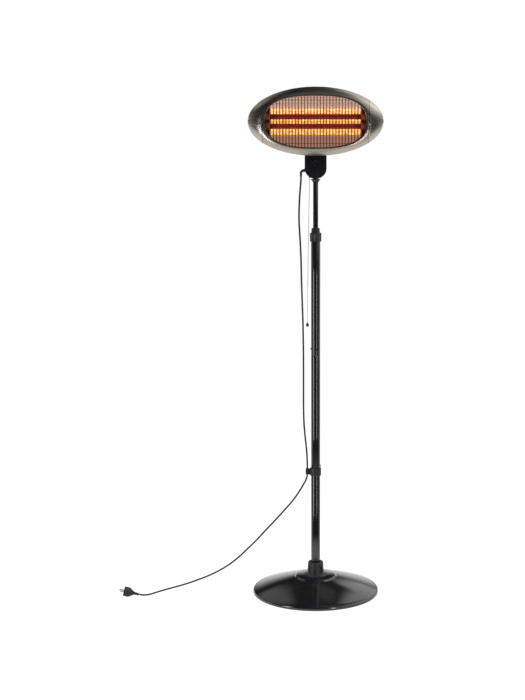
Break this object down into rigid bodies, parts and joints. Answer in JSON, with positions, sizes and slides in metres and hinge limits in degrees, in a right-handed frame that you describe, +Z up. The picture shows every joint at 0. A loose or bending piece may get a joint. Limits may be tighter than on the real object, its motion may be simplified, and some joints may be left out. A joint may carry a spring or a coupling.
{
  "type": "electric infrared patio heater tower",
  "caption": "Standing infrared heater: domed base, telescopic pole with twist clamp, pull switch housing and a tilting oval head with quartz heating tubes behind a wire guard.",
  "frame": {"origin": "on the floor, on the pole's axis, under the middle of the base", "axes": "+Z up along the pole, the heated face looks along -Y, +X towards the head's tilt knob"},
  "size_m": [1.0301, 0.5, 1.9643],
  "materials": {
    "gloss_black_paint": "gloss black paint on steel",
    "cement": "cast cement",
    "foot_rubber": "matte rubber",
    "zinc_steel": "zinc plated",
    "plug_aluminium": "machined",
    "black_plastic": "satin black moulding",
    "black_steel": "black oxide",
    "cord_rubber": "matte black sheath",
    "plug_rubber": "matte black rubber",
    "housing_plastic": "satin black moulding",
    "hinge_aluminium": "die cast, black",
    "white_thermoset": "heat-proof moulding",
    "braid": "braided cord",
    "brushed_stainless": "brushed stainless sheet",
    "guard_wire": "bright wire",
    "dark_paint": "heat-proof dark paint on sheet steel",
    "mirror_aluminium": "polished reflector",
    "quartz": "clear quartz",
    "resistance_wire": "glowing wire",
    "ceramic": "unglazed"
  },
  "bodies": {
    "stand": {"base_cover": "gloss_black_paint", "base_weight": "cement", "foot_1": "foot_rubber", "foot_2": "foot_rubber", "foot_3": "foot_rubber", "foot_4": "foot_rubber", "base_washer": "zinc_steel", "base_bolt": "zinc_steel", "tube_plug": "plug_aluminium", "base_collar": "black_plastic", "tube_lower": "gloss_black_paint", "tube_middle": "gloss_black_paint", "tube_upper": "gloss_black_paint", "joint_sleeve_lower": "zinc_steel", "joint_sleeve_upper": "zinc_steel", "joint_screw_lower_1": "black_steel", "joint_screw_lower_2": "black_steel", "joint_screw_upper_1": "black_steel", "joint_screw_upper_2": "black_steel", "clamp_bush": "black_plastic", "cable_clip": "black_plastic", "mains_cord_upper": "cord_rubber", "mains_cord_lower": "cord_rubber", "mains_plug": "plug_rubber"},
    "clamp": {"clamp_nut": "black_plastic"},
    "mast": {"inner_tube": "gloss_black_paint", "slide_bush": "black_plastic", "neck_collar": "black_plastic", "housing_front": "housing_plastic", "housing_rear": "housing_plastic", "housing_screw": "black_steel", "hinge_block": "hinge_aluminium", "switch_body": "white_thermoset", "terminal_block": "white_thermoset", "pull_cord_eyelet": "black_plastic", "cord_gland": "plug_rubber"},
    "head": {"bezel": "brushed_stainless", "end_cap_left": "brushed_stainless", "end_cap_right": "brushed_stainless", "wire_guard": "guard_wire", "rear_shell": "dark_paint", "reflector": "mirror_aluminium", "end_bracket_left": "black_steel", "end_bracket_right": "black_steel", "quartz_tube_upper": "quartz", "quartz_tube_lower": "quartz", "heating_coil_upper": "resistance_wire", "heating_coil_lower": "resistance_wire", "ceramic_cap_upper_left": "ceramic", "ceramic_cap_upper_right": "ceramic", "ceramic_cap_lower_left": "ceramic", "ceramic_cap_lower_right": "ceramic", "head_bracket": "black_steel", "tilt_bolt": "zinc_steel"},
    "knob": {"tilt_knob": "black_plastic"},
    "pull": {"switch_slider": "white_thermoset", "pull_cord": "braid", "pull_knob": "black_plastic"}
  },
  "joints": [
    {"name": "height", "type": "slide", "parent": "stand", "child": "mast", "axis": [0, 0, 1], "range_m": [-0.16, 0.155], "deforming": ["mains_cord_upper"]},
    {"name": "clamp_twist", "type": "hinge", "parent": "stand", "child": "clamp", "pos_m": [0, 0, 1.4169], "axis": [0, 0, 1], "range_deg": [-180, 0]},
    {"name": "tilt", "type": "hinge", "parent": "mast", "child": "head", "pos_m": [0, 0.008, 1.746], "axis": [1, 0, 0], "range_deg": [-6, 24]},
    {"name": "tilt_knob_turn", "type": "hinge", "parent": "head", "child": "knob", "pos_m": [0.03, 0.008, 1.746], "axis": [1, 0, 0], "range_deg": [0, 360]},
    {"name": "pull_switch", "type": "slide", "parent": "mast", "child": "pull", "axis": [0, 0, -1], "range_m": [0, 0.01], "stiffness_N_per_m": 600}
  ]
}
